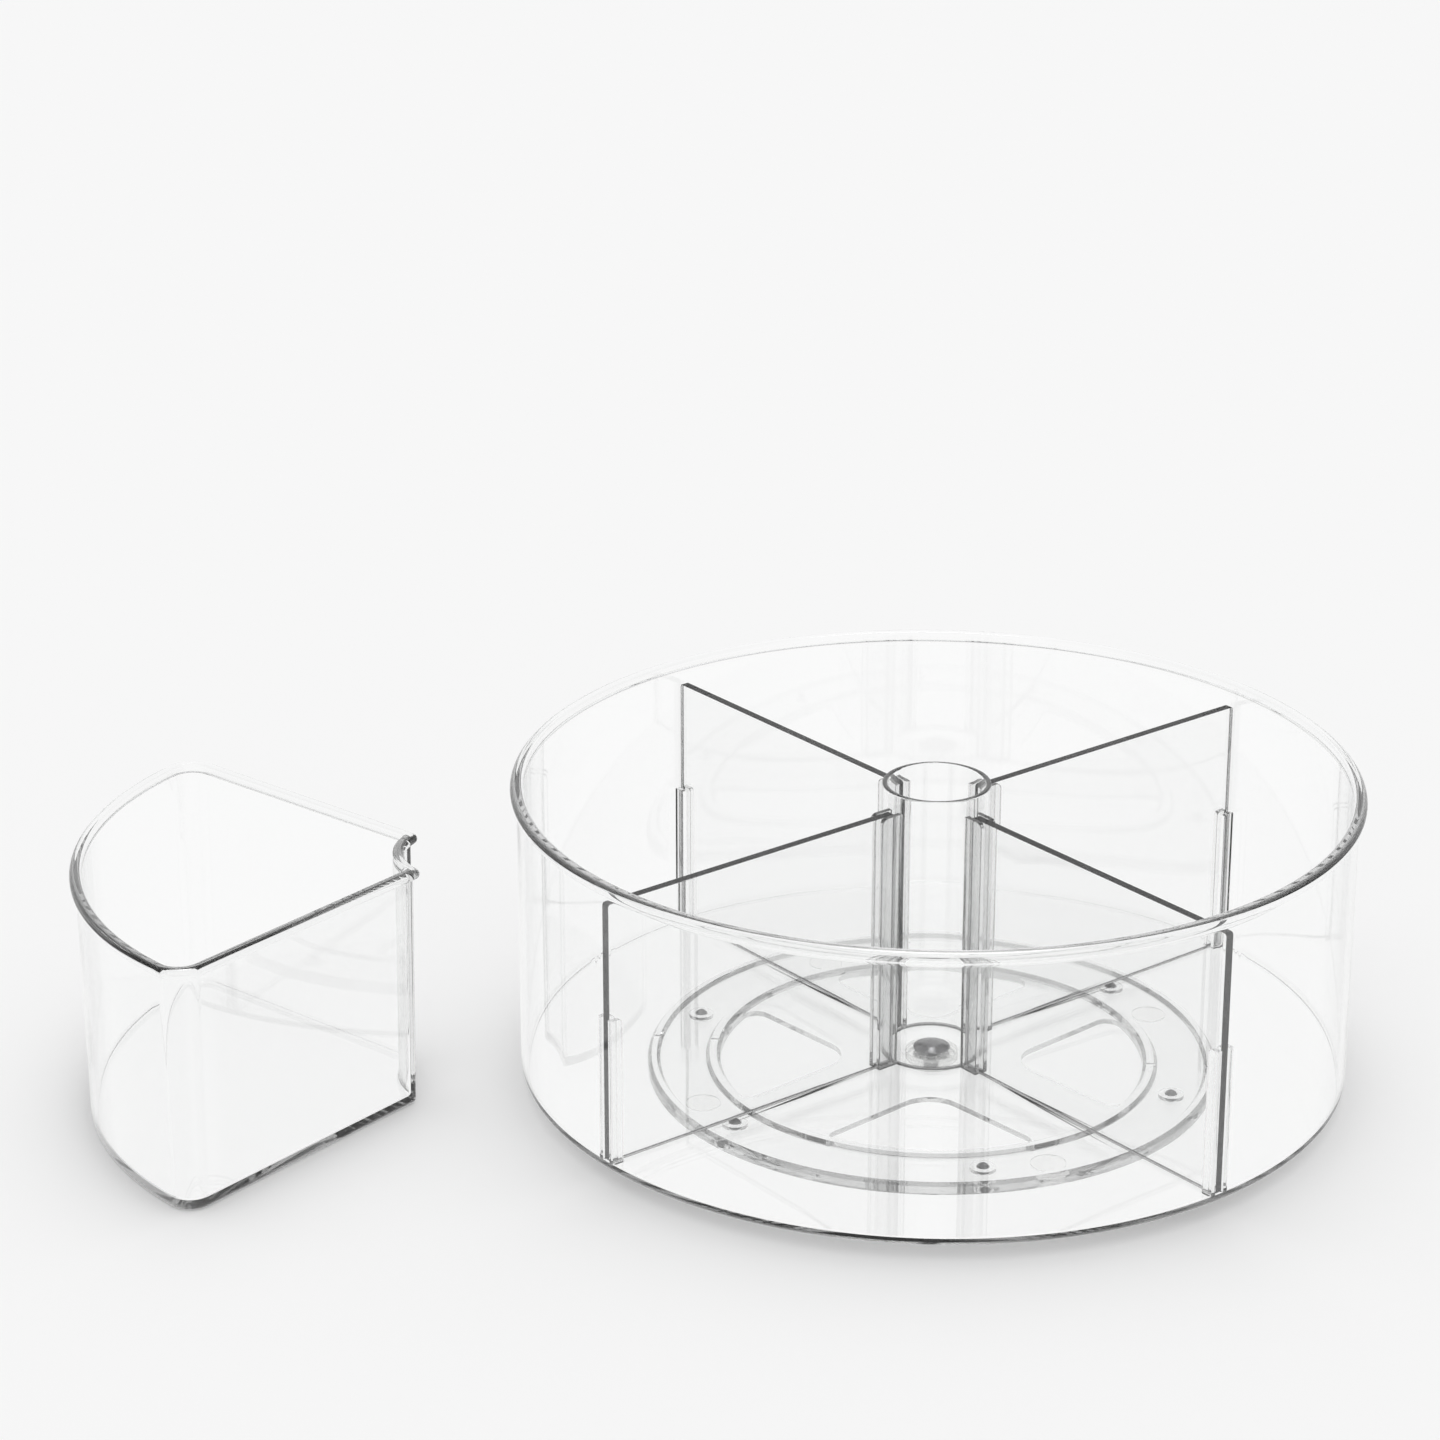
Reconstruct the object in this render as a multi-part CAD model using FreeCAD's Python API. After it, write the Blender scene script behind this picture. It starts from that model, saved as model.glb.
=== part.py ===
import FreeCAD, Part
import math
import os

# A clear divided turntable: a round tray that spins on steel balls over a low spoked base,
# four lift-out dividers held by a hollow centre post, and a loose wedge bin that fits one quarter.
# Millimetres. The table is z = 0, the spin axis is the Z axis, and the bin stands towards -X.

V = FreeCAD.Vector
UP = V(0, 0, 1)

# ---- tray ----
RIM_R = 146.0            # outermost radius of the rim bead
RIM_TOP = 108.8
BEAD_R = 2.1             # radius of the rim bead's section
BEAD_FILLET = 1.6        # hollow between the bead and the wall below it
WALL_R = 143.8           # outer face of the wall
WALL_T = 2.3
FLOOR_UNDER = 5.3        # flat underside, which runs on the balls
FLOOR_TOP = 7.0
INNER_FILLET = 1.0       # between floor and wall
LIP_ROUND = 1.3          # inner edge of the rim
FOOT_ROUND = 1.6         # outer edge of the underside
JOIN = 0.4               # how far ribs and collars run into what they stand on

# ---- dividers and what holds them ----
CROSS_AZ = 38.4          # azimuth of the first divider, degrees
DIVIDER_T = 3.0
DIVIDER_IN = 20.0        # inner and outer upright edges, from the spin axis
DIVIDER_OUT = 141.0
DIVIDER_TOP = 100.6
DIVIDER_ROUND = 1.2      # outer corners; the lower one clears the tray's fillet
DIVIDER_IN_ROUND = 1.0   # corners beside the post
DIVIDER_BEVEL = 0.25     # along both faces' edges
RIB_T = 1.8              # every guide rib
SLOT_W = 3.4             # gap between the two ribs of a pair
WALL_GUIDE_IN = 137.0    # inner edge of the wall guides
WALL_GUIDE_TOP = 59.5
WALL_GUIDE_ROUND = 1.5   # top inner corner

# ---- centre post ----
POST_TOP = 106.8
POST_R_TOP = 18.7
POST_R_FOOT = 19.5
POST_BORE_R = 16.9
POST_ROUND = 0.6         # both edges of the post's top
POST_RIB_OUT = 27.0
POST_RIB_ROUND = 2.2     # top outer corner

# ---- base ----
BASE_UNDER = 0.3
PLATE_TOP = 2.2
TRACK_FLOOR = 2.8
LIP_TOP = 4.4
LIP_CHAMFER = 1.2        # along the upper edges of both lips
TRACK_R = (75.0, 80.0, 96.0, 100.3)  # inner lip, track, outer lip
SPOKE_AZ = 42.0
SPOKE_HALF_W = 19.5
WINDOW_APEX_ROUND = 12.0
WINDOW_ROUND = 5.0
CUT_H = 5.0              # cutters reach this far above and below the plate
RECESS_R = 8.5           # under the hub, for the rivet's tail
RECESS_TOP = 1.5
NOTCH_AZ = 172.6         # small notches across both lips, on one diameter
NOTCH_W = 1.0
NOTCH_DEPTH = 0.4

# ---- balls ----
BALL_COUNT = 6
BALL_AZ = 38.5
BALL_RADIUS = 2.2
BALL_RING_R = 88.0
BALL_GAP = 0.06          # running clearance in the pocket and under the floor
COLLAR_R = 4.4
COLLAR_TOP = 4.0

# ---- rivet, washers and pads ----
SHANK_R = 2.5
SHANK_GAP = 0.06
HEAD_R = 6.5
HEAD_H = 2.3
HEAD_GAP = 0.1           # lets the tray turn under the head
TAIL_R = 4.0
TAIL_TAPER = 0.3
TAIL_UNDER = 0.55
WASHER_R = 9.2
RETAINER_R = 6.5
RETAINER_T = 0.5
PAD_COUNT = 4
PAD_AZ = 23.5
PAD_R = 6.0
PAD_SINK = 0.4           # pads sit in shallow pockets
HUB_PAD_R = 11.0

# ---- bin ----
BIN_X, BIN_Y = -157.8, -13.6   # where the quarter's corner, its virtual apex, stands
BIN_AZ = 185.4                 # the way the bin points, apex to arc
BIN_TOP = 87.8
BIN_RIM_R = 137.0              # rim's outer arc, from the apex
BIN_SIDE_GAP = 2.2             # rim's straight sides, from the quarter's edges
BIN_CORNER_R = 11.0
BIN_CORNER_LEAST = 2.0         # corner round left deep inside the wall
BIN_NOTCH_R = 24.0             # rim's hollow front, which clears the post
BIN_RIM_ROUND = 2.0            # the rim is a half round bead
BIN_LIP_ROUND = 1.0            # inner edge of the rim
BIN_FOOT_ROUND = 1.8
BIN_STEPS = 4                  # flats in each quarter of those rounds
BIN_LIP = 1.8                  # rim stands out from the wall
BIN_DRAFT = 0.9                # wall leans in towards the floor
BIN_WALL_T = 2.2
BIN_FLOOR_T = 3.0
BIN_HORN_R = 2.2               # corners beside the hollow front

TINY = 0.01              # a corner with no round still takes an arc this small


def polar(radius, degrees, z=0.0):
    a = math.radians(degrees)
    return V(radius * math.cos(a), radius * math.sin(a), z)


def turned(shape, degrees):
    moved = shape.copy()
    moved.rotate(V(0, 0, 0), UP, degrees)
    return moved


def cylinder(radius, z0, z1, at=None):
    base = at or V(0, 0, 0)
    return Part.makeCylinder(radius, z1 - z0, V(base.x, base.y, z0))


def outline_face(start, steps):
    """Face in the XZ plane. A step is (x, z) for a line, or ((x, z), (x, z)) for an arc: middle, end."""
    here = V(start[0], 0, start[1])
    edges = []
    for step in steps:
        if isinstance(step[0], tuple):
            middle, end = (V(x, 0, z) for x, z in step)
            edges.append(Part.Arc(here, middle, end).toShape())
        else:
            end = V(step[0], 0, step[1])
            edges.append(Part.makeLine(here, end))
        here = end
    return Part.Face(Part.Wire(edges))


def revolved(start, steps):
    return outline_face(start, steps).revolve(V(0, 0, 0), UP, 360)


def ring(r_in, r_out, z0, z1):
    return revolved((r_in, z0), [(r_out, z0), (r_out, z1), (r_in, z1), (r_in, z0)])


def quarter_arc(centre, radius, start_deg, end_deg):
    """Middle and end of an arc about centre, as a step for outline_face."""
    points = []
    for degrees in ((start_deg + end_deg) / 2, end_deg):
        a = math.radians(degrees)
        points.append((centre[0] + radius * math.cos(a), centre[1] + radius * math.sin(a)))
    return tuple(points)


def upright(x0, x1, z0, z1, thickness, y_mid=0.0, rounds=(0, 0, 0, 0)):
    """Plate standing along X. rounds: lower inner, lower outer, upper outer, upper inner corner."""
    low_in, low_out, up_out, up_in = (max(r, TINY) for r in rounds)
    face = outline_face(
        (x0 + low_in, z0),
        [
            (x1 - low_out, z0),
            quarter_arc((x1 - low_out, z0 + low_out), low_out, -90, 0),
            (x1, z1 - up_out),
            quarter_arc((x1 - up_out, z1 - up_out), up_out, 0, 90),
            (x0 + up_in, z1),
            quarter_arc((x0 + up_in, z1 - up_in), up_in, 90, 180),
            (x0, z0 + low_in),
            quarter_arc((x0 + low_in, z0 + low_in), low_in, 180, 270),
        ],
    )
    plate = face.extrude(V(0, thickness, 0))
    plate.translate(V(0, y_mid - thickness / 2, 0))
    return plate


def rib_pair(x0, x1, z0, z1, rounds):
    offset = (SLOT_W + RIB_T) / 2
    return [upright(x0, x1, z0, z1, RIB_T, side * offset, rounds) for side in (-1, 1)]


def rim_hollow():
    """Where the hollow under the bead meets the wall, its middle, and where it meets the bead."""
    bead = (RIM_R - BEAD_R, RIM_TOP - BEAD_R)
    centre_r = WALL_R + BEAD_FILLET
    reach = BEAD_R + BEAD_FILLET
    across = centre_r - bead[0]
    drop = math.sqrt(reach * reach - across * across)
    centre = (centre_r, bead[1] - drop)
    meets = math.degrees(math.atan2(drop, -across))
    middle, end = quarter_arc(centre, BEAD_FILLET, 180, meets)
    return (WALL_R, centre[1]), middle, end, meets - 180


def make_tray():
    wall_in = WALL_R - WALL_T
    on_wall, middle, on_bead, bead_start = rim_hollow()
    bead_centre = (RIM_R - BEAD_R, RIM_TOP - BEAD_R)
    shank_hole = SHANK_R + SHANK_GAP
    body = revolved(
        (shank_hole, FLOOR_UNDER),
        [
            (WALL_R - FOOT_ROUND, FLOOR_UNDER),
            quarter_arc((WALL_R - FOOT_ROUND, FLOOR_UNDER + FOOT_ROUND), FOOT_ROUND, -90, 0),
            on_wall,
            (middle, on_bead),
            quarter_arc(bead_centre, BEAD_R, bead_start, 90),
            (wall_in + LIP_ROUND, RIM_TOP),
            quarter_arc((wall_in + LIP_ROUND, RIM_TOP - LIP_ROUND), LIP_ROUND, 90, 180),
            (wall_in, FLOOR_TOP + INNER_FILLET),
            quarter_arc((wall_in - INNER_FILLET, FLOOR_TOP + INNER_FILLET), INNER_FILLET, 0, -90),
            (shank_hole, FLOOR_TOP),
            (shank_hole, FLOOR_UNDER),
        ],
    )
    guides = rib_pair(
        WALL_GUIDE_IN, wall_in + JOIN, FLOOR_TOP - JOIN, WALL_GUIDE_TOP,
        rounds=(0, 0, 0, WALL_GUIDE_ROUND),
    )
    for quarter in range(4):
        body = body.fuse([turned(g, CROSS_AZ + 90 * quarter) for g in guides])
    return body.removeSplitter()


def make_post():
    tube = revolved(
        (POST_BORE_R, FLOOR_TOP),
        [
            (POST_R_FOOT, FLOOR_TOP),
            (POST_R_TOP, POST_TOP - POST_ROUND),
            quarter_arc((POST_R_TOP - POST_ROUND, POST_TOP - POST_ROUND), POST_ROUND, 0, 90),
            (POST_BORE_R + POST_ROUND, POST_TOP),
            quarter_arc((POST_BORE_R + POST_ROUND, POST_TOP - POST_ROUND), POST_ROUND, 90, 180),
            (POST_BORE_R, FLOOR_TOP),
        ],
    )
    inside_wall = (POST_BORE_R + POST_R_TOP) / 2
    ribs = rib_pair(
        inside_wall, POST_RIB_OUT, FLOOR_TOP, DIVIDER_TOP, rounds=(0, 0, POST_RIB_ROUND, 0)
    )
    for quarter in range(4):
        tube = tube.fuse([turned(rib, CROSS_AZ + 90 * quarter) for rib in ribs])
    return tube.removeSplitter()


def make_divider(index):
    plate = upright(
        DIVIDER_IN, DIVIDER_OUT, FLOOR_TOP, DIVIDER_TOP, DIVIDER_T,
        rounds=(DIVIDER_IN_ROUND, DIVIDER_ROUND, DIVIDER_ROUND, DIVIDER_IN_ROUND),
    )
    outline = [
        edge for face in plate.Faces if abs(face.normalAt(0, 0).y) > 0.9 for edge in face.Edges
    ]
    return turned(plate.makeChamfer(DIVIDER_BEVEL, outline), CROSS_AZ + 90 * index)


def ball_place(index):
    z = FLOOR_UNDER - BALL_GAP / 2 - BALL_RADIUS
    return polar(BALL_RING_R, BALL_AZ + 360 / BALL_COUNT * index, z)


def upright_edges(shape, reach, inside):
    """Vertical edges of a block, those nearer to the Z axis than reach or the others."""
    found = []
    for edge in shape.Edges:
        low, high = edge.Vertexes[0].Point, edge.Vertexes[-1].Point
        is_vertical = abs(low.z - high.z) > CUT_H
        if is_vertical and (math.hypot(low.x, low.y) < reach) == inside:
            found.append(edge)
    return found


def window():
    """One of the four gaps between the spokes, as the solid to cut, pointing along +X +Y."""
    reach = TRACK_R[0]
    block = Part.makeBox(reach, reach, 2 * CUT_H, V(SPOKE_HALF_W, SPOKE_HALF_W, -CUT_H))
    block = block.common(cylinder(reach, -CUT_H, CUT_H))
    apex_reach = reach / 2
    block = block.makeFillet(WINDOW_ROUND, upright_edges(block, apex_reach, inside=False))
    return block.makeFillet(WINDOW_APEX_ROUND, upright_edges(block, apex_reach, inside=True))


def make_base():
    lip_in, track_in, track_out, lip_out = TRACK_R
    edge_z = LIP_TOP - LIP_CHAMFER
    body = revolved(
        (SHANK_R + SHANK_GAP, RECESS_TOP),
        [
            (RECESS_R, RECESS_TOP),
            (RECESS_R, BASE_UNDER),
            (lip_out, BASE_UNDER),
            (lip_out, edge_z),
            (lip_out - LIP_CHAMFER, LIP_TOP),
            (track_out + LIP_CHAMFER, LIP_TOP),
            (track_out, edge_z),
            (track_out, TRACK_FLOOR),
            (track_in, TRACK_FLOOR),
            (track_in, edge_z),
            (track_in - LIP_CHAMFER, LIP_TOP),
            (lip_in + LIP_CHAMFER, LIP_TOP),
            (lip_in, edge_z),
            (lip_in, PLATE_TOP),
            (SHANK_R + SHANK_GAP, PLATE_TOP),
            (SHANK_R + SHANK_GAP, RECESS_TOP),
        ],
    )
    places = [ball_place(i) for i in range(BALL_COUNT)]
    body = body.fuse([cylinder(COLLAR_R, TRACK_FLOOR - JOIN, COLLAR_TOP, p) for p in places])
    pocket_r = BALL_RADIUS + BALL_GAP
    cuts = [turned(window(), SPOKE_AZ + 90 * i) for i in range(4)]
    for place in places:
        cuts.append(Part.makeSphere(pocket_r, place))
        cuts.append(cylinder(pocket_r, place.z, COLLAR_TOP + CUT_H, place))
    for index in range(PAD_COUNT):
        cuts.append(cylinder(PAD_R, -CUT_H, BASE_UNDER + PAD_SINK, pad_place(index)))
    notch_z = LIP_TOP - NOTCH_DEPTH
    reach = lip_out + CUT_H
    bar = Part.makeBox(2 * reach, NOTCH_W, CUT_H, V(-reach, -NOTCH_W / 2, notch_z))
    cuts.append(turned(bar, NOTCH_AZ))
    return body.cut(cuts).removeSplitter()


def make_ball(index):
    return Part.makeSphere(BALL_RADIUS, ball_place(index))


def make_rivet():
    under = FLOOR_TOP + HEAD_GAP
    dome_r = (HEAD_R ** 2 + HEAD_H ** 2) / (2 * HEAD_H)
    top = under + HEAD_H
    half = math.atan2(HEAD_R, dome_r - HEAD_H) / 2
    on_dome = (dome_r * math.sin(half), top - dome_r + dome_r * math.cos(half))
    tail_top = RECESS_TOP - RETAINER_T
    return revolved(
        (0, TAIL_UNDER),
        [
            (TAIL_R - TAIL_TAPER, TAIL_UNDER),
            (TAIL_R, tail_top),
            (SHANK_R, tail_top),
            (SHANK_R, under),
            (HEAD_R, under),
            (on_dome, (0, top)),
            (0, TAIL_UNDER),
        ],
    )


def pad_place(index):
    return polar(BALL_RING_R, PAD_AZ + 360 / PAD_COUNT * index)


def make_pad(index):
    return cylinder(PAD_R, 0, BASE_UNDER + PAD_SINK, pad_place(index))


def bin_outline(inset, z):
    """Closed wire of the bin's plan, inset from the rim's outer edge, with its apex at the origin.

    It runs from the hollow front, along one side, round the corner and the arc, and back."""
    half = math.radians(45)
    arc_r = BIN_RIM_R - inset
    gap = BIN_SIDE_GAP + inset
    notch_r = BIN_NOTCH_R + inset
    corner = max(BIN_CORNER_R - inset, BIN_CORNER_LEAST)
    horn = BIN_HORN_R
    along = V(math.cos(half), math.sin(half), 0)
    inward = V(math.sin(half), -math.cos(half), 0)

    def centre_of(radius, reach):
        """Centre of a round of this radius inside the side line, at this distance from the apex."""
        off = gap + radius
        return along * math.sqrt(reach * reach - off * off) + inward * off

    corner_c = centre_of(corner, arc_r - corner)
    horn_c = centre_of(horn, notch_r + horn)
    to_side = inward * -1
    out = corner_c * (1 / corner_c.Length)
    back = horn_c * (-1 / horn_c.Length)
    # rounds start and end where they touch the line, the arc and the hollow
    horn_side, horn_notch = horn_c + to_side * horn, horn_c + back * horn
    corner_side, corner_arc = corner_c + to_side * corner, corner_c + out * corner
    horn_mid = horn_c + (to_side + back).normalize() * horn
    corner_mid = corner_c + (to_side + out).normalize() * corner

    def mirrored(point):
        return V(point.x, -point.y, 0)

    edges = [
        Part.Arc(horn_notch, horn_mid, horn_side).toShape(),
        Part.makeLine(horn_side, corner_side),
        Part.Arc(corner_side, corner_mid, corner_arc).toShape(),
        Part.Arc(corner_arc, V(arc_r, 0, 0), mirrored(corner_arc)).toShape(),
        Part.Arc(mirrored(corner_arc), mirrored(corner_mid), mirrored(corner_side)).toShape(),
        Part.makeLine(mirrored(corner_side), mirrored(horn_side)),
        Part.Arc(mirrored(horn_side), mirrored(horn_mid), mirrored(horn_notch)).toShape(),
        Part.Arc(mirrored(horn_notch), V(notch_r, 0, 0), horn_notch).toShape(),
    ]
    wire = Part.Wire(edges)
    wire.translate(V(0, 0, z))
    return wire


def lofted(*wires):
    return Part.makeLoft(list(wires), True, True)


def round_off(inset, z, radius, start_deg, end_deg):
    """Outlines along a round: its centre is at this inset and height, and 0 degrees points outwards."""
    steps = max(1, round(BIN_STEPS * abs(end_deg - start_deg) / 90))
    found = []
    for step in range(steps + 1):
        a = math.radians(start_deg + (end_deg - start_deg) * step / steps)
        found.append(bin_outline(inset - radius * math.cos(a), z + radius * math.sin(a)))
    return found


def make_bin():
    foot = BIN_LIP + BIN_DRAFT
    rim_z = BIN_TOP - BIN_RIM_ROUND
    shell = lofted(
        *round_off(foot + BIN_FOOT_ROUND, BIN_FOOT_ROUND, BIN_FOOT_ROUND, -90, 0),
        bin_outline(BIN_LIP, rim_z),
    )
    rim = lofted(*round_off(BIN_RIM_ROUND, rim_z, BIN_RIM_ROUND, -90, 90))
    inner = BIN_LIP + BIN_WALL_T
    hollow = lofted(
        *round_off(
            foot + BIN_WALL_T + BIN_LIP_ROUND, BIN_FLOOR_T + BIN_LIP_ROUND, BIN_LIP_ROUND, -90, 0
        ),
        *round_off(inner - BIN_LIP_ROUND, BIN_TOP - BIN_LIP_ROUND, BIN_LIP_ROUND, 180, 90),
        bin_outline(inner - BIN_LIP_ROUND, BIN_TOP + BIN_LIP_ROUND),
    )
    body = shell.fuse(rim).cut(hollow).removeSplitter()
    body.rotate(V(0, 0, 0), UP, BIN_AZ)
    body.translate(V(BIN_X, BIN_Y, 0))
    return body


def build():
    shank_hole = SHANK_R + SHANK_GAP
    nodes = {
        "base_ring": make_base(),
        "pivot_rivet": make_rivet(),
        "upper_washer": ring(shank_hole, WASHER_R, PLATE_TOP, FLOOR_UNDER - HEAD_GAP),
        "retaining_washer": ring(shank_hole, RETAINER_R, RECESS_TOP - RETAINER_T, RECESS_TOP),
        "hub_pad": cylinder(HUB_PAD_R, 0, BASE_UNDER),
        "tray": make_tray(),
        "centre_post": make_post(),
        "bin": make_bin(),
    }
    for index in range(PAD_COUNT):
        nodes[f"foot_pad_{index + 1}"] = make_pad(index)
    for index in range(BALL_COUNT):
        nodes[f"ball_{index + 1}"] = make_ball(index)
    for index in range(4):
        nodes[f"divider_{index + 1}"] = make_divider(index)
    return nodes


os.makedirs("parts", exist_ok=True)
for name, shape in build().items():
    solid = shape.Solids[0] if len(shape.Solids) == 1 else shape
    solid.exportStep(f"parts/{name}.step")
    print(name, len(shape.Solids), "solid", round(solid.Volume), "mm3", solid.isValid())
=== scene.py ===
import math

import bpy
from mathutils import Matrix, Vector


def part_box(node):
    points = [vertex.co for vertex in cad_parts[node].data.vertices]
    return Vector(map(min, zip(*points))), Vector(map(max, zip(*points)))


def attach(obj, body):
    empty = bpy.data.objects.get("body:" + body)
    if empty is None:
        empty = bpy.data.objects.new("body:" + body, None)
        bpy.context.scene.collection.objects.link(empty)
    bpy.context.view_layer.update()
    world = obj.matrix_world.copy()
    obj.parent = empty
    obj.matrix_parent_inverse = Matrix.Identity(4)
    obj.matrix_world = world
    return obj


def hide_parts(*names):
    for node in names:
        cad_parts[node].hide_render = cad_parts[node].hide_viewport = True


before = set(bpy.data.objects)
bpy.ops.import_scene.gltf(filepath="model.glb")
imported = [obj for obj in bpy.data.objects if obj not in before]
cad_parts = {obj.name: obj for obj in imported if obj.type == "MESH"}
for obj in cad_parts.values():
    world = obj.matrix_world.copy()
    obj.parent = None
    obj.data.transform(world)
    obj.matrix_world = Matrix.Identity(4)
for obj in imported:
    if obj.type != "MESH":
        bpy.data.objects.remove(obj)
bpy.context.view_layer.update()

# A clear divided turntable with a loose wedge bin. Meshes are worked out in millimetres about the
# spin axis and handed over in metres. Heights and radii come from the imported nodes' boxes; the sizes
# of small features repeat the CAD source.

MM = 0.001
AIR = 0.03   # film of air under loose pieces, which keeps two clear faces from lying in one plane
SHANK_HOLE_R = 2.56   # holes that the rivet passes through
scene = bpy.context.scene


def node_box(name):
    low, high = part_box(name)
    return low / MM, high / MM


# ------------------------------------------------------------------ mesh tools


def new_object(name, verts, faces, crease):
    """Mesh object from points in millimetres, smooth except across edges sharper than crease."""
    mesh = bpy.data.meshes.new(name)
    mesh.from_pydata([(x * MM, y * MM, z * MM) for x, y, z in verts], [], faces)
    mesh.validate()
    obj = bpy.data.objects.new(name, mesh)
    scene.collection.objects.link(obj)
    mesh.shade_smooth()
    mesh.set_sharp_from_angle(angle=math.radians(crease))
    flats = obj.modifiers.new("flat_faces_stay_flat", "WEIGHTED_NORMAL")
    flats.keep_sharp = True
    return obj


class Shell:
    """Collects points and faces of one closed surface; points closer than a micrometre are one."""

    def __init__(self):
        self.points, self.faces, self.index = [], [], {}

    def point(self, p):
        key = tuple(round(c * 1000) for c in p)
        if key not in self.index:
            self.index[key] = len(self.points)
            self.points.append(tuple(p))
        return self.index[key]

    def face(self, corners):
        ids = []
        for i in (self.point(p) for p in corners):
            if i not in ids:
                ids.append(i)
        if len(ids) > 2:
            self.faces.append(ids)

    def band(self, lower, upper):
        """Quads between two closed rows of points of the same count."""
        count = len(lower)
        for i in range(count):
            j = (i + 1) % count
            self.face([lower[i], lower[j], upper[j], upper[i]])

    def loft(self, rings):
        for lower, upper in zip(rings, rings[1:]):
            self.band(lower, upper)

    def build(self, name, crease=28.0):
        return new_object(name, self.points, self.faces, crease)


def at(radius, degrees, z):
    a = math.radians(degrees)
    return (radius * math.cos(a), radius * math.sin(a), z)


def circle(radius, z, degrees):
    return [at(radius, d, z) for d in degrees]


def arc(centre, radius, start, end, steps):
    """(r, z) points of an arc in section, both ends included; 0 degrees points outwards."""
    found = []
    for i in range(steps + 1):
        a = math.radians(start + (end - start) * i / steps)
        found.append((centre[0] + radius * math.cos(a), centre[1] + radius * math.sin(a)))
    return found


def turned(points, degrees, shift=(0, 0)):
    c, s = math.cos(math.radians(degrees)), math.sin(math.radians(degrees))
    return [(x * c - y * s + shift[0], x * s + y * c + shift[1], z) for x, y, z in points]


# ------------------------------------------------------------------ ribbed rings

# Ribs hold the dividers, on the tray's wall and on the post. A guide is a pair of ribs about a
# slot. A column is one upright line of the ribbed surface: its azimuth and sideways place on a
# plain ring, its sideways place on a ribbed one, and how far it stays short of the rib's end there.
# A root, where a rib meets the ring, has no last number, and columns away from the guide have only
# the azimuth.
RIB_T, SLOT_W = 1.8, 3.4
RIB_EDGE = 0.35     # round along a rib's upright edges
ROOT_APART = 0.15   # how far beside a rib its root lies
ROOT_REACH = 1.7    # degrees within which a plain ring still runs straight up below a root
CROSS_AZ = 38.4
QUARTERS = [CROSS_AZ + 90 * k for k in range(4)]


def rib_columns(plain_r, far_step):
    """Columns of one quarter, centred on a guide's azimuth, going round by increasing angle."""
    inner, outer = SLOT_W / 2, SLOT_W / 2 + RIB_T
    bend = [(RIB_EDGE * (1 - math.cos(math.radians(a))), RIB_EDGE * (1 - math.sin(math.radians(a))))
            for a in (0, 30, 60, 90)]

    def column(y, short, plain_y):
        return (math.degrees(math.asin(plain_y / plain_r)), plain_y, y, short)

    def rib(y0, y1):
        found = [column(y0, None, y0 - ROOT_APART)]
        found += [column(y0 + side, short, y0 + side) for side, short in bend]
        found += [column(y1 - side, short, y1 - side) for side, short in reversed(bend)]
        return found + [column(y1, None, y1 + ROOT_APART)]

    middle = (0.0, None, None, None)
    pair = rib(-outer, -inner) + [middle] + rib(inner, outer)
    edge = pair[-1][0]
    steps = math.ceil((45 - edge) / far_step)
    after = [(edge + (45 - edge) * i / steps, None, None, None) for i in range(1, steps + 1)]
    before = [(-column[0], None, None, None) for column in reversed(after)][1:]
    return before + pair + after


def ribbed_ring(columns, ring_r, rib_end, z, inside):
    """One ring of the surface. rib_end None leaves it plain; inside tells which side ribs are on."""
    ring = []
    for azimuth in QUARTERS:
        local = []
        for angle, plain_y, y, short in columns:
            if y is None:
                local.append(at(ring_r, angle, z))
            elif rib_end is None:
                near = abs(math.degrees(math.asin(plain_y / max(ring_r, 5))) - angle) < ROOT_REACH
                local.append((math.sqrt(ring_r ** 2 - plain_y ** 2), plain_y, z) if near
                             else at(ring_r, angle, z))
            else:
                x = math.sqrt(ring_r ** 2 - y ** 2)
                if short is not None:
                    x = min(rib_end + short, x) if inside else max(rib_end - short, x)
                local.append((x, y, z))
        ring += turned(local, azimuth)
    return ring


# ------------------------------------------------------------------ tray


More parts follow.
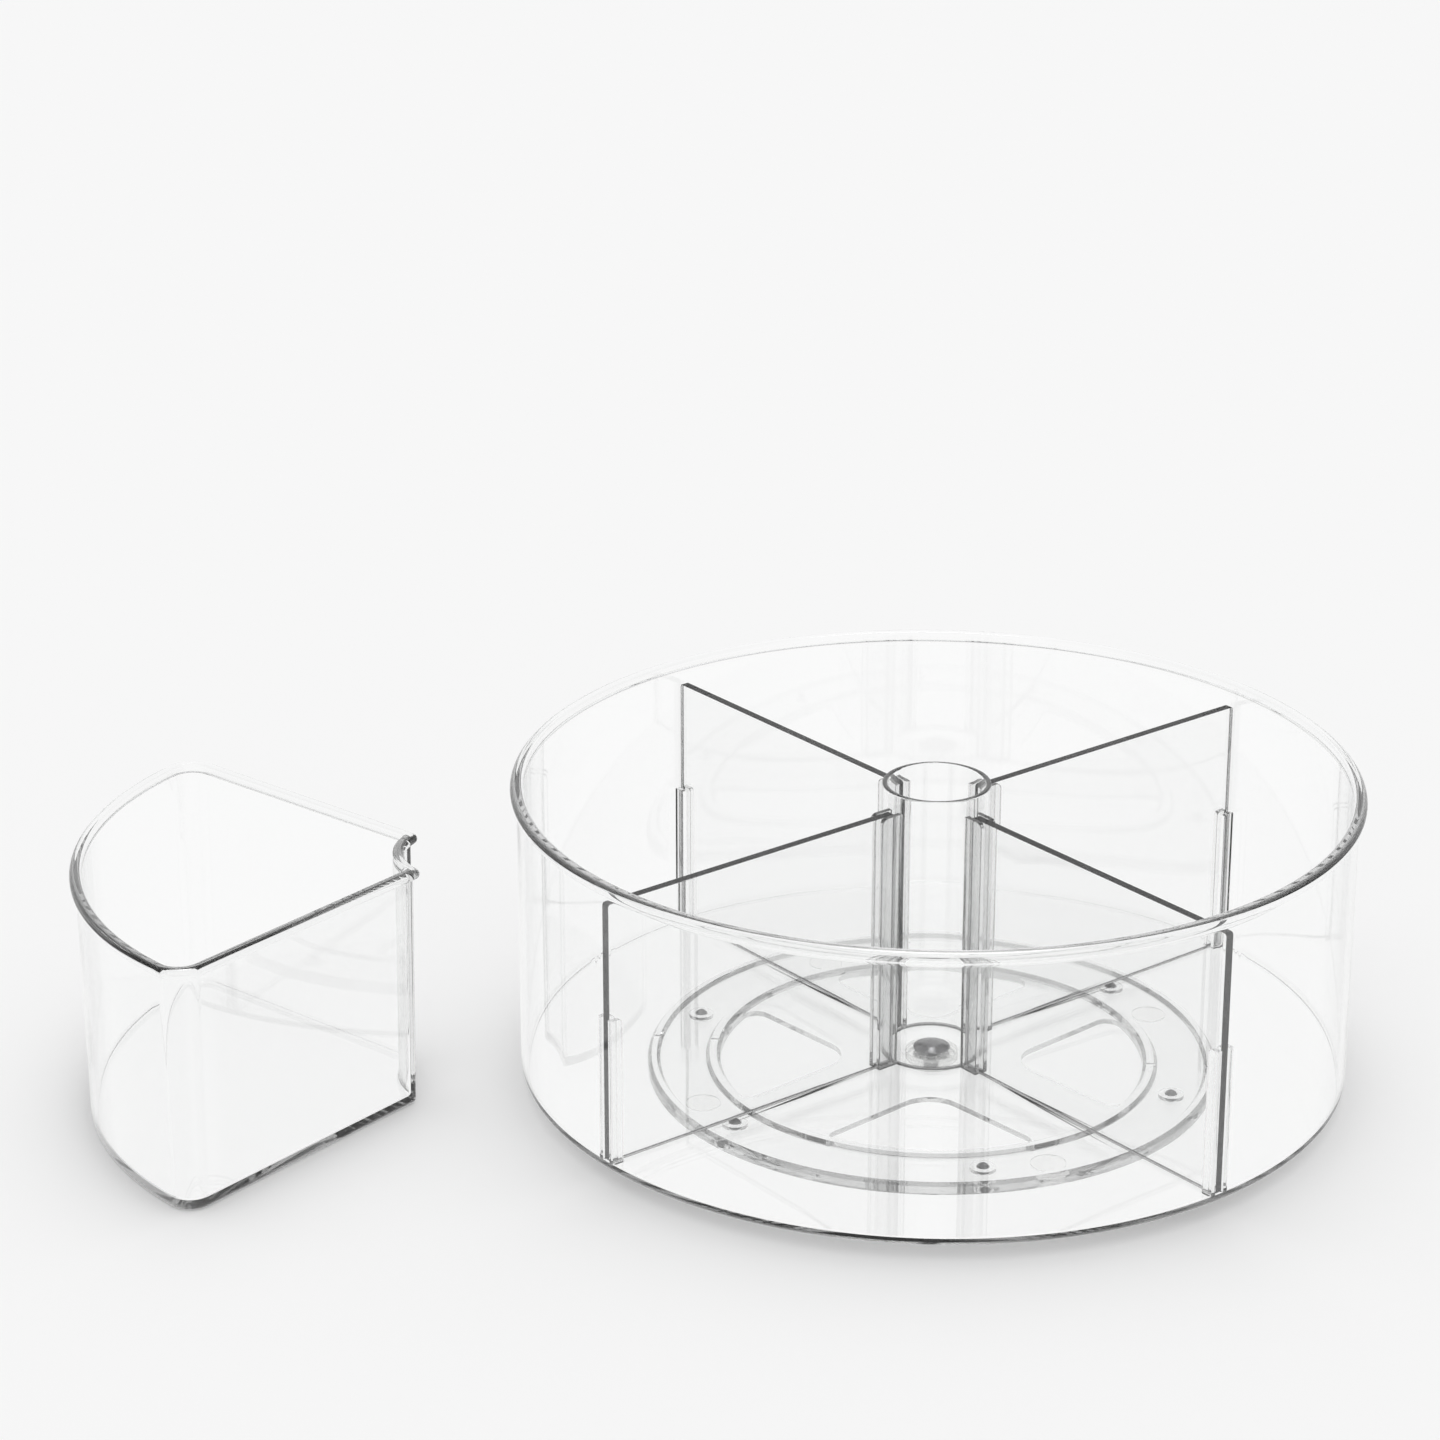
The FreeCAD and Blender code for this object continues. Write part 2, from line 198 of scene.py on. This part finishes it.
def build_tray():
    low, high = node_box("tray")
    rim_r, rim_top = high.x, high.z
    bead_r, hollow_r = 2.1, 1.6
    wall_r, wall_t = rim_r - 2.2, 2.3
    wall_in = wall_r - wall_t
    floor_under, floor_top = low.z, low.z + 1.7
    foot, lip, fillet, hole_r = 1.6, 1.3, 1.0, SHANK_HOLE_R
    guide_in, guide_top, guide_round = 137.0, 59.5, 1.5

    bead_c = (rim_r - bead_r, rim_top - bead_r)
    across = wall_r + hollow_r - bead_c[0]
    drop = math.sqrt((bead_r + hollow_r) ** 2 - across ** 2)
    meets = math.degrees(math.atan2(drop, -across))
    section = [(r, floor_under) for r in (hole_r, 25, 60, 100, 130)]
    section += arc((wall_r - foot, floor_under + foot), foot, -90, 0, 8)
    section += [(wall_r, 30), (wall_r, 60), (wall_r, 85)]
    section += arc((wall_r + hollow_r, bead_c[1] - drop), hollow_r, 180, meets, 6)
    section += arc(bead_c, bead_r, meets - 180, 90, 16)[1:]
    section += arc((wall_in + lip, rim_top - lip), lip, 90, 180, 8)
    section += [(wall_in, 85)]

    columns = rib_columns(wall_in, 1.1)
    rings = [ribbed_ring(columns, r, None, z, True) for r, z in section]
    corner = (guide_in + guide_round, guide_top - guide_round)
    crown = arc(corner, guide_round, 90, 180, 6)
    rings.append(ribbed_ring(columns, wall_in, wall_in, guide_top, True))
    rings += [ribbed_ring(columns, wall_in, x, z, True) for x, z in crown]
    for r, z in arc((wall_in - fillet, floor_top + fillet), fillet, 0, -90, 6):
        rings.append(ribbed_ring(columns, r, guide_in, z, True))
    rings += [ribbed_ring(columns, r, None, floor_top, True) for r in (130, 90, 50, 25, hole_r)]
    rings.append(rings[0])
    shell = Shell()
    shell.loft(rings)
    return shell.build("tray_body", crease=35)


# ------------------------------------------------------------------ post


def build_post():
    low, high = node_box("centre_post")
    foot, top = low.z + AIR, high.z
    r_top, r_foot, bore, edge = 18.7, 19.5, 16.9, 0.6
    rib_out, rib_top, rib_round, foot_line = 27.0, 100.6, 2.2, 0.6
    columns = rib_columns(r_top, 3.0)

    def tube_r(z):
        return r_foot + (r_top - r_foot) * (z - foot) / (top - edge - foot)

    rings = [ribbed_ring(columns, r_foot, rib_out, foot, False)]
    for z in (foot + foot_line, foot + 30, foot + 60):
        rings.append(ribbed_ring(columns, tube_r(z), rib_out, z, False))
    for x, z in arc((rib_out - rib_round, rib_top - rib_round), rib_round, 0, 90, 6):
        rings.append(ribbed_ring(columns, tube_r(z), x, z, False))
    rings.append(ribbed_ring(columns, tube_r(rib_top), 0, rib_top, False))
    outer = arc((r_top - edge, top - edge), edge, 0, 90, 5)
    inner = arc((bore + edge, top - edge), edge, 90, 180, 5)
    inner += [(bore, foot + 60), (bore, foot + 30), (bore, foot + foot_line), (bore, foot)]
    rings += [ribbed_ring(columns, r, None, z, False) for r, z in outer + inner]
    rings.append(rings[0])
    shell = Shell()
    shell.loft(rings)
    post = shell.build("post_body", crease=35)
    # painted shade: the foot band and, faintly, the ribs are marked for a darker tint and a dark diffuse,
    # standing in for the light that runs along them
    shades = []
    for face in post.data.polygons:
        x, y, z = face.center / MM
        on_rib = math.hypot(x, y) > r_foot + 0.1
        shades.append(0.9 if z < foot + foot_line else 0.06 if on_rib else 0.0)
    painted_shade_layer = post.data.attributes.new("painted_shade_mask", "FLOAT", "FACE")
    painted_shade_layer.data.foreach_set("value", shades)
    return post


# ------------------------------------------------------------------ dividers


def build_divider(index):
    low, high = node_box(f"divider_{index}")
    inner, outer, half_t, bevel = 20.0, 141.0, 1.5, 0.25
    round_in, round_top, round_foot = 1.0, 1.2, 1.2
    foot = low.z + AIR

    def outline(inset):
        """Plate's outline in (radius, z), corners rounded."""
        x0, x1, z0, z1 = inner + inset, outer - inset, foot + inset, high.z - inset
        r_in, r_top, r_foot = round_in - inset, round_top - inset, round_foot - inset
        points = arc((x1 - r_foot, z0 + r_foot), r_foot, -90, 0, 5)
        points += arc((x1 - r_top, z1 - r_top), r_top, 0, 90, 5)
        points += arc((x0 + r_in, z1 - r_in), r_in, 90, 180, 5)
        points += arc((x0 + r_in, z0 + r_in), r_in, 180, 270, 5)
        return points

    azimuth = CROSS_AZ + 90 * (index - 1)
    rows = []
    steps = 3
    for side in (-1, 1):
        turns = range(steps + 1) if side < 0 else range(steps, -1, -1)
        for i in turns:
            a = math.radians(90 * i / steps)
            inset = bevel * (1 - math.sin(a))
            y = side * (half_t - bevel * (1 - math.cos(a)))
            rows.append(turned([(x, y, z) for x, z in outline(inset)], azimuth))
    shell = Shell()
    shell.loft(list(reversed(rows)))
    shell.faces.append([shell.point(p) for p in rows[0]])
    shell.faces.append([shell.point(p) for p in reversed(rows[-1])])
    plate = shell.build(f"divider_plate_{index}", crease=40)
    # the two broad faces come last; all the others belong to the sawn and polished edge, which is marked
    # for painted shade: a darker tint and a dark diffuse
    edge = plate.data.attributes.new("painted_shade_mask", "FLOAT", "FACE")
    edge.data.foreach_set("value", [1.0] * (len(shell.faces) - 2) + [0.0, 0.0])
    return plate


# ------------------------------------------------------------------ bin


def bin_outline(inset, z):
    """Plan of the bin about its apex, pointing along +X: hollow front, side, corner, arc and back."""
    rim_arc, side_gap, notch, corner_r, horn = 137.0, 2.2, 24.0, 11.0, 2.2
    arc_r, gap, notch_r = rim_arc - inset, side_gap + inset, notch + inset
    corner = max(corner_r - inset, 2.0)
    along = Vector((math.cos(math.radians(45)), math.sin(math.radians(45))))
    inward = Vector((along.y, -along.x))

    def centre_of(radius, reach):
        off = gap + radius
        return along * math.sqrt(reach * reach - off * off) + inward * off

    corner_c, horn_c = centre_of(corner, arc_r - corner), centre_of(horn, notch_r + horn)
    side_deg = 135.0
    corner_deg = math.degrees(math.atan2(corner_c.y, corner_c.x))
    horn_deg = math.degrees(math.atan2(horn_c.y, horn_c.x))

    def plan_arc(centre, radius, start, end, steps, skip=0):
        found = []
        for i in range(skip, steps + 1):
            a = math.radians(start + (end - start) * i / steps)
            found.append((centre[0] + radius * math.cos(a), centre[1] + radius * math.sin(a), z))
        return found

    half = plan_arc((0, 0), notch_r, 0, horn_deg, 10)
    half += plan_arc(horn_c, horn, 180 + horn_deg, side_deg, 8, 1)
    start, end = half[-1], plan_arc(corner_c, corner, side_deg, side_deg, 1)[0]
    runs = 6
    half += [tuple(s + (e - s) * i / runs for s, e in zip(start, end)) for i in range(1, runs)]
    half += plan_arc(corner_c, corner, side_deg, corner_deg, 12)
    half += plan_arc((0, 0), arc_r, corner_deg, 0, 24, 1)
    back = [(x, -y, z) for x, y, z in reversed(half)][1:-1]
    return half + back


def build_bin():
    low, high = node_box("bin")
    azimuth = 185.4
    top, lip, draft, wall_t, floor_t = high.z, 1.8, 0.9, 2.2, 3.0
    rim_r, lip_r, foot_r, floor_r = 2.0, 1.0, 1.8, 1.0
    foot, rim_z, inner = lip + draft, top - rim_r, lip + wall_t

    def sweep(inset, z, radius, start, end, steps):
        """Outlines along a round in section; 0 degrees points out of the bin."""
        return [(inset - x, h) for x, h in arc((0, z), radius, start, end, steps)]

    section = sweep(foot + foot_r, foot_r, foot_r, -90, 0, 8)
    under = math.degrees(math.acos((rim_r - lip) / rim_r))
    section += [(foot - draft * s, foot_r + (rim_z - foot_r) * s) for s in (0.3, 0.6, 0.95)]
    section += sweep(rim_r, rim_z, rim_r, -under, 90, 14)
    section += sweep(inner - lip_r, top - lip_r, lip_r, 90, 180, 6)
    section += [(inner + draft * 0.5, top / 2)]
    section += sweep(foot + wall_t + floor_r, floor_t + floor_r, floor_r, 0, -90, 5)
    rings = [turned(bin_outline(inset, z), azimuth) for inset, z in section]
    widest = rings[max(range(len(section)), key=lambda i: -section[i][0])]
    xs, ys = [p[0] for p in widest], [p[1] for p in widest]
    shift = (low.x - min(xs), low.y - min(ys))
    rings = [[(x + shift[0], y + shift[1], z) for x, y, z in ring] for ring in rings]
    shell = Shell()
    shell.loft(list(reversed(rings)))
    shell.faces.append([shell.point(p) for p in rings[0]])
    shell.faces.append([shell.point(p) for p in reversed(rings[-1])])
    return shell.build("bin_body")


# ------------------------------------------------------------------ balls, rivet, washers and pads

def turned_solid(name, section, steps, place=(0, 0), crease=45.0):
    """Closed solid from (r, z) points turned about an upright line."""
    shell = Shell()
    degrees = [360 * i / steps for i in range(steps)]
    shell.loft([[(x + place[0], y + place[1], z) for x, y, z in circle(r, z, degrees)]
                for r, z in section])
    return shell.build(name, crease)


def build_ball(name):
    low, high = node_box(name)
    centre, radius = (low + high) / 2, (high.z - low.z) / 2
    section = arc((0, centre.z), radius, -90, 90, 28)
    section[0], section[-1] = (0.0, low.z), (0.0, high.z)
    return turned_solid(f"steel_{name}", section, 40, (centre.x, centre.y), crease=60)


def build_rivet():
    low, high = node_box("pivot_rivet")
    head_r, head_h, shank_r, tail_r, tail_top = high.x, 2.3, 2.5, 4.0, 1.0
    taper, eased = 0.3, 0.25
    under = high.z - head_h
    dome_r = (head_r ** 2 + head_h ** 2) / (2 * head_h)
    half = math.degrees(math.asin(head_r / dome_r))
    section = [(0.0, low.z), (tail_r - taper, low.z), (tail_r, tail_top), (shank_r, tail_top)]
    section += [(shank_r, under)] + arc((head_r - eased, under + eased), eased, -90, 20, 4)
    section += arc((0, high.z - dome_r), dome_r, 90 - half + 3, 90, 16)[:-1] + [(0.0, high.z)]
    return turned_solid("rivet_dome", section, 72)


def build_ring(name, edge):
    """Flat washer with its four edges eased."""
    low, high = node_box(name)
    outer, inner = high.x - edge, SHANK_HOLE_R + edge
    bottom, top = low.z + edge, high.z - edge
    corners = [(outer, bottom), (outer, top), (inner, top), (inner, bottom)]
    section = []
    for turn, corner in enumerate(corners):
        section += arc(corner, edge, 90 * turn - 90, 90 * turn, 3)
    return turned_solid(name + "_eased", section + section[:1], 72)


def build_pad(name):
    """Moulded pad: flat foot, domed shoulder."""
    low, high = node_box(name)
    centre, r = (low + high) / 2, (high.x - low.x) / 2
    foot, shoulder = 0.1, min(0.3, (high.z - low.z) / 2)
    section = [(0.0, low.z)] + arc((r - foot, low.z + foot), foot, -90, 0, 4)
    section += arc((r - shoulder, high.z - shoulder), shoulder, 0, 90, 5) + [(0.0, high.z)]
    return turned_solid(name + "_moulded", section, 48, (centre.x, centre.y))


# ------------------------------------------------------------------ materials


def new_material(name):
    mat = bpy.data.materials.new(name)
    mat.use_nodes = True
    mat.node_tree.nodes.clear()
    return mat, mat.node_tree


def node(tree, kind, inputs=None, **settings):
    made = tree.nodes.new(kind)
    for key, value in settings.items():
        setattr(made, key, value)
    for key, value in (inputs or {}).items():
        made.inputs[key].default_value = value
    return made


def noise(tree, coords, scale, detail, stretch=(1, 1, 1)):
    """Noise in object space; scale is in features per metre."""
    mapping = node(tree, "ShaderNodeMapping", {"Scale": stretch})
    tree.links.new(coords.outputs["Object"], mapping.inputs["Vector"])
    tex = node(tree, "ShaderNodeTexNoise", {"Scale": scale, "Detail": detail})
    tree.links.new(mapping.outputs["Vector"], tex.inputs["Vector"])
    return tex.outputs["Fac"]


def remap(tree, value, source, target):
    made = node(tree, "ShaderNodeMapRange", {
        "From Min": source[0], "From Max": source[1], "To Min": target[0], "To Max": target[1],
    })
    tree.links.new(value, made.inputs["Value"])
    return made.outputs["Result"]


def bump(tree, height, distance, strength):
    made = node(tree, "ShaderNodeBump", {"Strength": strength, "Distance": distance})
    tree.links.new(height, made.inputs["Height"])
    return made.outputs["Normal"]


def combine(tree, operation, first, second, **settings):
    """Result of a math node on two linked values."""
    made = node(tree, "ShaderNodeMath", operation=operation, **settings)
    tree.links.new(first, made.inputs[0])
    tree.links.new(second, made.inputs[1])
    return made.outputs[0]


def size_of(tree, value):
    """The value without its sign."""
    made = node(tree, "ShaderNodeMath", operation="ABSOLUTE")
    tree.links.new(value, made.inputs[0])
    return made.outputs[0]


def mixed(tree, share, first, second):
    """Shader going from first to second as the share goes from 0 to 1."""
    made = node(tree, "ShaderNodeMixShader")
    tree.links.new(share, made.inputs["Fac"])
    tree.links.new(first, made.inputs[1])
    tree.links.new(second, made.inputs[2])
    return made.outputs["Shader"]


def axis_of(tree, vector, axis):
    made = node(tree, "ShaderNodeSeparateXYZ")
    tree.links.new(vector, made.inputs[0])
    return made.outputs[axis]


def facing(tree):
    """0 where the surface is met head on, 1 where it is met at a glancing angle."""
    return node(tree, "ShaderNodeLayerWeight", {"Blend": 0.5}).outputs["Facing"]


def blend(tree, mask, first, second, target):
    """Colour going from first to second as the mask goes from 0 to 1."""
    made = node(tree, "ShaderNodeMix", data_type="RGBA")
    made.inputs[6].default_value = (*first, 1)
    made.inputs[7].default_value = (*second, 1)
    tree.links.new(mask, made.inputs[0])
    tree.links.new(made.outputs[2], target)


def lights_others(tree):
    """1 for rays that carry light to other surfaces, which see clear plastic as a plain filter."""
    path = node(tree, "ShaderNodeLightPath")
    return combine(tree, "MAXIMUM", path.outputs["Is Shadow Ray"], path.outputs["Is Diffuse Ray"])


def clear_plastic(name, tint, seed_shift, absorb, painted_line_shade=None, painted_side_shade=None, painted_glancing_shade=None,
                  foot_passes=1.0):
    """Moulded clear plastic: slow flow waves, faint handling smears and hairline scratches.

    Lamps pass through it, less where they meet it on a slant, so it casts a soft shadow.
    painted_line_shade is painted shade: a darker colour, mixed with a dark diffuse, on the faces
    marked in painted_shade_mask (a sheet's sawn edge, a post's foot and ribs). painted_side_shade is
    painted shade on a moulding's slanted and upright sides, painted_glancing_shade painted shade on a
    wall met at a glancing angle, and foot_passes the share of the lamps' light that the thick rounded
    foot lets straight through."""
    smear = 0.03
    mat, tree = new_material(name)
    out = node(tree, "ShaderNodeOutputMaterial")
    glass = node(tree, "ShaderNodeBsdfPrincipled", {
        "Base Color": (*tint, 1), "Transmission Weight": 1.0, "IOR": 1.49,
    })
    coords = node(tree, "ShaderNodeTexCoord")
    body = glass.outputs["BSDF"]
    # painted shade: marked faces get a darker tint and up to half a dark diffuse, drawing dark lines
    if painted_line_shade:
        mask = node(tree, "ShaderNodeAttribute", attribute_name="painted_shade_mask").outputs["Fac"]
        blend(tree, mask, tint, painted_line_shade, glass.inputs["Base Color"])
        painted_shade_diffuse = node(tree, "ShaderNodeBsdfDiffuse", {"Color": (0.06, 0.06, 0.06, 1)})
        body = mixed(tree, remap(tree, mask, (0.0, 1.0), (0.0, 0.5)), body, painted_shade_diffuse.outputs["BSDF"])
    # painted shade: slanted and upright faces are tinted darker, drawing dark lines along rounded lips
    if painted_side_shade:
        level = size_of(tree, axis_of(tree, coords.outputs["Normal"], "Z"))
        slanted = remap(tree, level, (0.95, 0.75), (0.0, 1.0))
        upright = remap(tree, level, (0.0, 0.6), (0.4, 1.0))
        mask = combine(tree, "MULTIPLY", slanted, upright)
        blend(tree, mask, tint, painted_side_shade, glass.inputs["Base Color"])
    # painted shade: faces met at a glancing angle are tinted darker
    if painted_glancing_shade:
        grazing = remap(tree, facing(tree), (0.7, 0.92), (0.0, 1.0))
        blend(tree, grazing, tint, painted_glancing_shade, glass.inputs["Base Color"])
    smears = remap(tree, noise(tree, coords, 21 + seed_shift, 4), (0.42, 0.8), (0.0, smear))
    hairs = remap(tree, noise(tree, coords, 60 + seed_shift, 2, (1, 1, 22)), (0.66, 0.72), (0, smear))
    tree.links.new(combine(tree, "ADD", smears, hairs), glass.inputs["Roughness"])
    waves = bump(tree, noise(tree, coords, 9 + seed_shift, 1), 0.0006, 0.25)
    tree.links.new(waves, glass.inputs["Normal"])
    passes = remap(tree, facing(tree), (0.4, 0.95), (0.985, 0.74))
    height = axis_of(tree, coords.outputs["Object"], "Z")
    near_foot = remap(tree, height, (0.008, 0.016), (foot_passes, 1.0))
    clear = node(tree, "ShaderNodeBsdfTransparent")
    tree.links.new(combine(tree, "MULTIPLY", passes, near_foot), clear.inputs["Color"])
    surface = mixed(tree, lights_others(tree), body, clear.outputs["BSDF"])
    tree.links.new(surface, out.inputs["Surface"])
    volume = node(tree, "ShaderNodeVolumeAbsorption", {"Color": (0.0, 0.0, 0.0, 1), "Density": absorb})
    tree.links.new(volume.outputs["Volume"], out.inputs["Volume"])
    return mat


def steel(name, colour, rings):
    """Polished steel, with turning marks where rings is set, or a ball's fine polish."""
    mat, tree = new_material(name)
    out = node(tree, "ShaderNodeOutputMaterial")
    shader = node(tree, "ShaderNodeBsdfPrincipled", {"Metallic": 1.0})
    coords = node(tree, "ShaderNodeTexCoord")
    patches = noise(tree, coords, 700, 4)
    blend(tree, patches, colour, [c * 0.8 for c in colour], shader.inputs["Base Color"])
    tree.links.new(remap(tree, patches, (0.3, 0.7), (0.12, 0.24)), shader.inputs["Roughness"])
    if rings:
        wave = node(tree, "ShaderNodeTexWave", {"Scale": 900, "Distortion": 0.6},
                    wave_type="RINGS", rings_direction="Z")
        tree.links.new(coords.outputs["Object"], wave.inputs["Vector"])
        height = wave.outputs["Fac"]
    else:
        height = noise(tree, coords, 3000, 2)
    tree.links.new(bump(tree, height, 0.00002, 0.35), shader.inputs["Normal"])
    tree.links.new(shader.outputs["BSDF"], out.inputs["Surface"])
    return mat


def satin_clear(name, ior):
    """Clear soft plastic or silicone with a satin moulded skin."""
    mat, tree = new_material(name)
    out = node(tree, "ShaderNodeOutputMaterial")
    shader = node(tree, "ShaderNodeBsdfPrincipled", {
        "Base Color": (0.97, 0.97, 0.965, 1), "Transmission Weight": 1.0, "IOR": ior,
    })
    coords = node(tree, "ShaderNodeTexCoord")
    grain = noise(tree, coords, 900, 3)
    tree.links.new(remap(tree, grain, (0.3, 0.7), (0.12, 0.3)), shader.inputs["Roughness"])
    tree.links.new(bump(tree, grain, 0.00004, 0.5), shader.inputs["Normal"])
    clear = node(tree, "ShaderNodeBsdfTransparent", {"Color": (0.8, 0.8, 0.8, 1)})
    surface = mixed(tree, lights_others(tree), shader.outputs["BSDF"], clear.outputs["BSDF"])
    tree.links.new(surface, out.inputs["Surface"])
    return mat


TINT = (0.997, 0.999, 0.998)
# painted shade: darker colour for the tray's and the bin's walls where they are met at a glancing angle
PAINTED_GLANCING_SHADE = (0.78, 0.785, 0.785)
MATERIALS = {
    "tray_plastic": clear_plastic("clear_tray", TINT, 0, absorb=3.5, painted_glancing_shade=PAINTED_GLANCING_SHADE,
                                  foot_passes=0.8),
    # painted shade: the dividers' edges get a darker tint and a dark diffuse
    "divider_plastic": clear_plastic("clear_divider", TINT, 3, absorb=9.0, painted_line_shade=(0.5, 0.5, 0.51)),
    "bin_plastic": clear_plastic("clear_bin", TINT, 5, absorb=7.0, painted_glancing_shade=PAINTED_GLANCING_SHADE,
                                 foot_passes=0.65),
    # painted shade: the base's slanted and upright faces are tinted darker
    "base_plastic": clear_plastic("clear_base", TINT, 7, absorb=3.0, painted_side_shade=(0.5, 0.5, 0.5)),
    # painted shade: the ball and rivet steels get colours far darker than steel's own, standing in for the
    # dark surroundings that polished steel reflects
    "ball_steel": steel("ball_steel", (0.13, 0.13, 0.135), rings=False),
    "rivet_steel": steel("rivet_steel", (0.2, 0.2, 0.205), rings=True),
    "pad_rubber": satin_clear("pad_silicone", ior=1.1),
    "washer_plastic": satin_clear("washer_plastic", ior=1.2),
}
# painted shade: the post's foot band and ribs get a darker tint and a dark diffuse
POST_PLASTIC = clear_plastic("clear_post", TINT, 2, absorb=8.0, painted_line_shade=(0.5, 0.5, 0.5))

# ------------------------------------------------------------------ assembly


def place(piece, body, slot, node_name, material=None):
    piece.data.materials.append(material or MATERIALS[slot])
    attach(piece, body)
    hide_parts(node_name)


place(build_tray(), "tray", "tray_plastic", "tray")
place(build_post(), "tray", "tray_plastic", "centre_post", material=POST_PLASTIC)
for index in range(1, 5):
    place(build_divider(index), f"divider_{index}", "divider_plastic", f"divider_{index}")
place(build_bin(), "bin", "bin_plastic", "bin")
for index in range(1, 7):
    place(build_ball(f"ball_{index}"), f"ball_{index}", "ball_steel", f"ball_{index}")
place(build_rivet(), "base", "rivet_steel", "pivot_rivet")
place(build_ring("upper_washer", edge=0.15), "base", "washer_plastic", "upper_washer")
place(build_ring("retaining_washer", edge=0.12), "base", "rivet_steel", "retaining_washer")
for name in ["hub_pad"] + [f"foot_pad_{i}" for i in range(1, 5)]:
    place(build_pad(name), "base", "pad_rubber", name)

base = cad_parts["base_ring"]
base.data.materials.clear()
base.data.materials.append(MATERIALS["base_plastic"])
base.data.shade_smooth()
base.modifiers.new("join_faces", "WELD").merge_threshold = 0.00001
base.modifiers.new("sharp_edges_stay_sharp", "EDGE_SPLIT").split_angle = math.radians(30)

# ------------------------------------------------------------------ stage and light

PALE = 0.93    # floor and backdrop
SEEN = 0.975   # the same surroundings as mirror and glass rays find them
SUN_TOWARDS = (-0.05, -0.2, -1.0)


def seen_directly(tree, path):
    """1 for camera, mirror and glass rays, 0 for the rays that light things."""
    mirror_or_camera = combine(tree, "ADD", path.outputs["Is Camera Ray"], path.outputs["Is Glossy Ray"],
                               use_clamp=True)
    return combine(tree, "ADD", mirror_or_camera, path.outputs["Is Transmission Ray"], use_clamp=True)


def build_floor():
    half, drop = 12.0, 0.0002
    corners = [(-half, -half, 0), (half, -half, 0), (half, half, 0), (-half, half, 0)]
    mesh = bpy.data.meshes.new("floor")
    mesh.from_pydata(corners, [], [(0, 1, 2, 3)])
    floor = bpy.data.objects.new("floor", mesh)
    scene.collection.objects.link(floor)
    floor.location.z = -drop
    mat, tree = new_material("floor_paper")
    out = node(tree, "ShaderNodeOutputMaterial")
    lit = node(tree, "ShaderNodeBsdfDiffuse", {"Color": (PALE, PALE, PALE, 1)})
    glow = node(tree, "ShaderNodeEmission", {"Color": (SEEN, SEEN, SEEN, 1)})
    path = node(tree, "ShaderNodeLightPath")
    # metal and glass find the floor almost evenly lit, and the camera finds the object's shadow
    in_mirrors = remap(tree, path.outputs["Is Glossy Ray"], (0.0, 1.0), (0.0, 0.8))
    in_glass = remap(tree, path.outputs["Is Transmission Ray"], (0.0, 1.0), (0.0, 0.97))
    even = combine(tree, "MAXIMUM", in_mirrors, in_glass)
    surface = mixed(tree, even, lit.outputs["BSDF"], glow.outputs["Emission"])
    tree.links.new(surface, out.inputs["Surface"])
    mesh.materials.append(mat)


def build_world(ambient, ceiling):
    """Even light for the object. Mirror and glass rays find it dimmer overhead and high up at both
    sides, down to ceiling, and find the softbox as a bright patch."""
    world = bpy.data.worlds.new("studio")
    scene.world = world
    world.use_nodes = True
    tree = world.node_tree
    tree.nodes.clear()
    out = node(tree, "ShaderNodeOutputWorld")
    lights = node(tree, "ShaderNodeBackground", {"Color": (ambient, ambient, ambient, 1)})
    shown = node(tree, "ShaderNodeBackground")
    path = node(tree, "ShaderNodeLightPath")
    ray = node(tree, "ShaderNodeTexCoord").outputs["Generated"]
    height = axis_of(tree, ray, "Z")
    aside = remap(tree, size_of(tree, axis_of(tree, ray, "X")), (0.42, 0.85), (0.0, 1.0))
    raised = remap(tree, height, (0.05, 0.4), (0.0, 1.0))
    overhead = remap(tree, height, (0.7, 0.95), (0.0, 0.7))
    dark = combine(tree, "MAXIMUM", combine(tree, "MULTIPLY", aside, raised), overhead)
    pick = node(tree, "ShaderNodeMix", data_type="FLOAT")
    tree.links.new(path.outputs["Is Camera Ray"], pick.inputs[0])
    tree.links.new(remap(tree, dark, (0.0, 1.0), (SEEN, ceiling)), pick.inputs[2])
    pick.inputs[3].default_value = PALE
    lamp = node(tree, "ShaderNodeVectorMath", {1: Vector(SUN_TOWARDS).normalized() * -1},
                operation="DOT_PRODUCT")
    tree.links.new(ray, lamp.inputs[0])
    tree.links.new(remap(tree, lamp.outputs["Value"], (0.972, 0.985), (1.0, 9.0)), shown.inputs["Strength"])
    tree.links.new(pick.outputs[0], shown.inputs["Color"])
    surface = mixed(tree, seen_directly(tree, path), lights.outputs["Background"],
                    shown.outputs["Background"])
    tree.links.new(surface, out.inputs["Surface"])


def sun(name, towards, energy, degrees):
    lamp = bpy.data.lights.new(name, "SUN")
    lamp.energy = energy
    lamp.angle = math.radians(degrees)
    obj = bpy.data.objects.new(name, lamp)
    scene.collection.objects.link(obj)
    obj.rotation_euler = Vector(towards).to_track_quat("-Z", "Y").to_euler()
    obj.visible_glossy = obj.visible_transmission = False


build_floor()
build_world(ambient=0.82, ceiling=0.25)
sun("softbox", SUN_TOWARDS, 0.58, 45)

lens = bpy.data.cameras.new("camera")
lens.sensor_width = 36
lens.lens = 106.25
lens.clip_start, lens.clip_end = 0.05, 60
camera = bpy.data.objects.new("camera", lens)
scene.collection.objects.link(camera)
camera.location = (-0.0742, -1.3450, 0.6598)
camera.rotation_euler = (math.radians(90 - 21.52), 0, 0)
scene.camera = camera
scene.view_settings.view_transform = "Standard"
scene.cycles.max_bounces = 64
scene.cycles.glossy_bounces = 56
scene.cycles.transmission_bounces = 64
scene.cycles.transparent_max_bounces = 64
